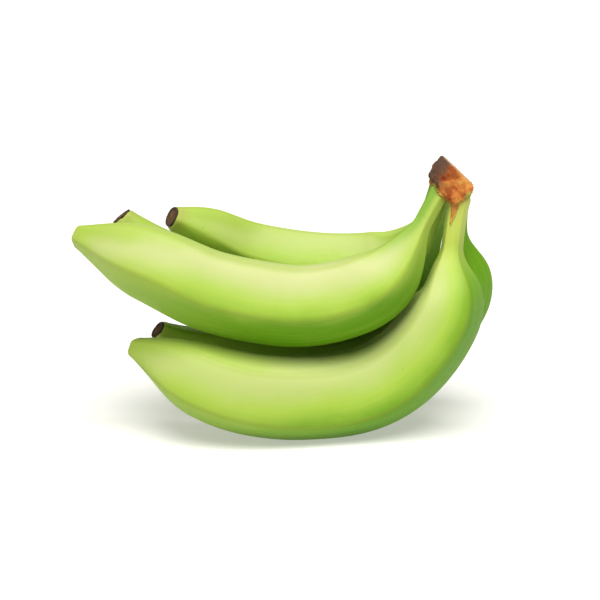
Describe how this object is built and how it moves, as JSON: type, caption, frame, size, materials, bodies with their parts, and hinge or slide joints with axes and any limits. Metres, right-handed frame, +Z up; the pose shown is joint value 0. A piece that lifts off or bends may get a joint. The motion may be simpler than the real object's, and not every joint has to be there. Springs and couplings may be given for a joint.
{
  "type": "hand of green plantains",
  "caption": "Hand of green plantains: curved, ridged fruits growing from one cut brown crown, each ending in a dried flower scar, lying on the lower fruits.",
  "frame": {"origin": "middle of the footprint's box, on the surface the hand lies on", "axes": "+X from the blossom ends towards the crown, +Y from the front finger towards the back one, +Z up"},
  "size_m": [0.2278, 0.1396, 0.1473],
  "materials": {
    "peel": "satin, waxy green fruit peel",
    "crown": "rough, dried brown cut tissue",
    "blossom_end": "rough, dark dried flower scar"
  },
  "bodies": {
    "root": {"crown": "crown", "finger_front_lower": "peel", "finger_back_lower": "peel", "finger_front_upper": "peel", "finger_middle_upper": "peel", "finger_back_upper": "peel", "blossom_end_front_lower": "blossom_end", "blossom_end_back_lower": "blossom_end", "blossom_end_front_upper": "blossom_end", "blossom_end_middle_upper": "blossom_end", "blossom_end_back_upper": "blossom_end"}
  },
  "joints": []
}
